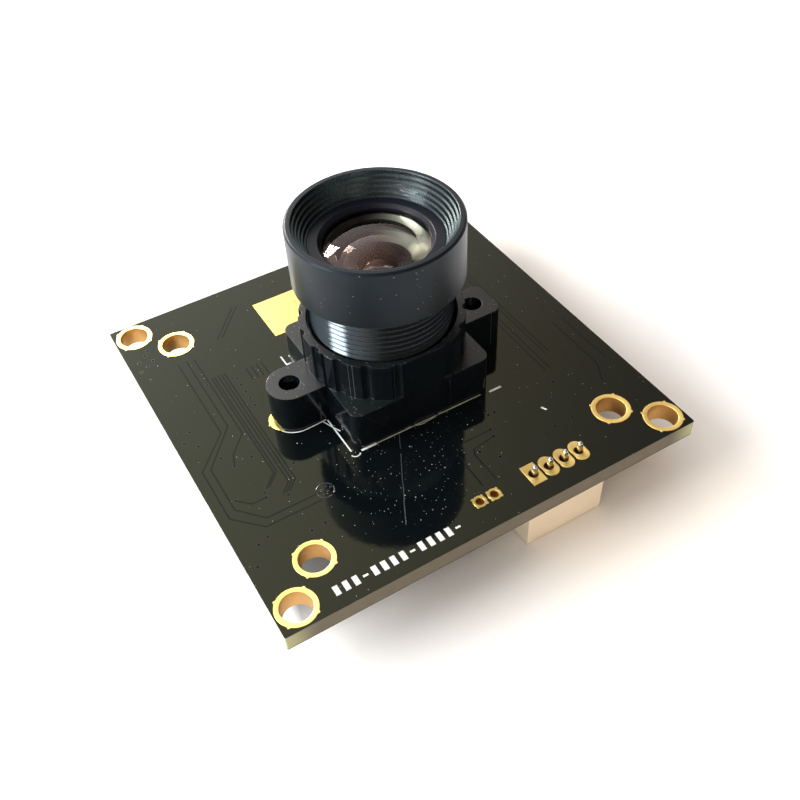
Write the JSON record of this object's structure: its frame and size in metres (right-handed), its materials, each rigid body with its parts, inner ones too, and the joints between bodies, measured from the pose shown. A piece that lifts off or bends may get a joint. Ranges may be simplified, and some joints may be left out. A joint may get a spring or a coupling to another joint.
{
  "type": "camera module",
  "caption": "Square board camera module with a screw-focus lens in a notched plastic holder, plated corner mounting holes and a cable socket underneath.",
  "frame": {"origin": "centre of the mounting-hole patterns, on the board's underside", "axes": "+Z out of the lens, square to the board; +X and +Y along the board's edges; the cable socket lies at -Y, +X"},
  "size_m": [0.0376, 0.0376, 0.0229],
  "materials": {
    "solder_mask": "glossy black solder mask over glass-fibre laminate",
    "gold_plate": "satin gold plating over copper",
    "holder_plastic": "black moulded plastic, satin",
    "screw_steel": "zinc-plated self-tapping screw",
    "black_anodised": "turned aluminium, black anodised",
    "coated_glass": "polished glass with a warm antireflection coating",
    "spacer_metal": "turned, dull",
    "stop_black": "matt black",
    "filter_glass": "infrared-cut coating, pink",
    "sensor_ceramic": "dark ceramic",
    "silicon": "polished silicon with an iridescent pixel field",
    "clear_glass": "clear",
    "connector_nylon": "natural cream nylon",
    "tinned_pin": "bright tin",
    "tinned_lead": "tin plated",
    "chip_body": "black moulding compound",
    "crystal_case": "plated can",
    "inductor_ferrite": "grey-black ferrite",
    "capacitor_ceramic": "tan ceramic",
    "resistor_body": "black glaze on ceramic",
    "legend_ink": "white silk-screen ink"
  },
  "bodies": {
    "board": {"circuit_board": "solder_mask", "mount_hole_platings": "gold_plate", "header_pads": "gold_plate", "test_pads": "gold_plate", "ground_pad": "gold_plate", "holder_slot_platings": "gold_plate", "lens_holder": "holder_plastic", "holder_screws": "screw_steel", "infrared_filter": "filter_glass", "sensor_package": "sensor_ceramic", "sensor_die": "silicon", "sensor_cover_glass": "clear_glass", "connector_housing": "connector_nylon", "connector_pins": "tinned_pin", "processor": "chip_body", "processor_leads": "tinned_lead", "flash_memory": "chip_body", "flash_leads": "tinned_lead", "clock_crystal": "crystal_case", "regulators": "chip_body", "regulator_leads": "tinned_lead", "power_inductor": "inductor_ferrite", "capacitors": "capacitor_ceramic", "capacitor_ends": "tinned_lead", "resistors": "resistor_body", "resistor_ends": "tinned_lead"},
    "lens": {"lens_barrel": "black_anodised", "retaining_ring": "black_anodised", "front_element": "coated_glass", "conical_spacer": "spacer_metal", "stepped_baffle": "stop_black", "second_element": "coated_glass", "aperture_stop": "stop_black", "cemented_pair": "coated_glass", "rear_element": "coated_glass", "rear_retaining_ring": "black_anodised"}
  },
  "joints": [
    {"name": "focus_travel", "type": "slide", "parent": "board", "child": "lens", "axis": [0, 0, 1], "range_m": [-0.0015, 0.002]}
  ]
}
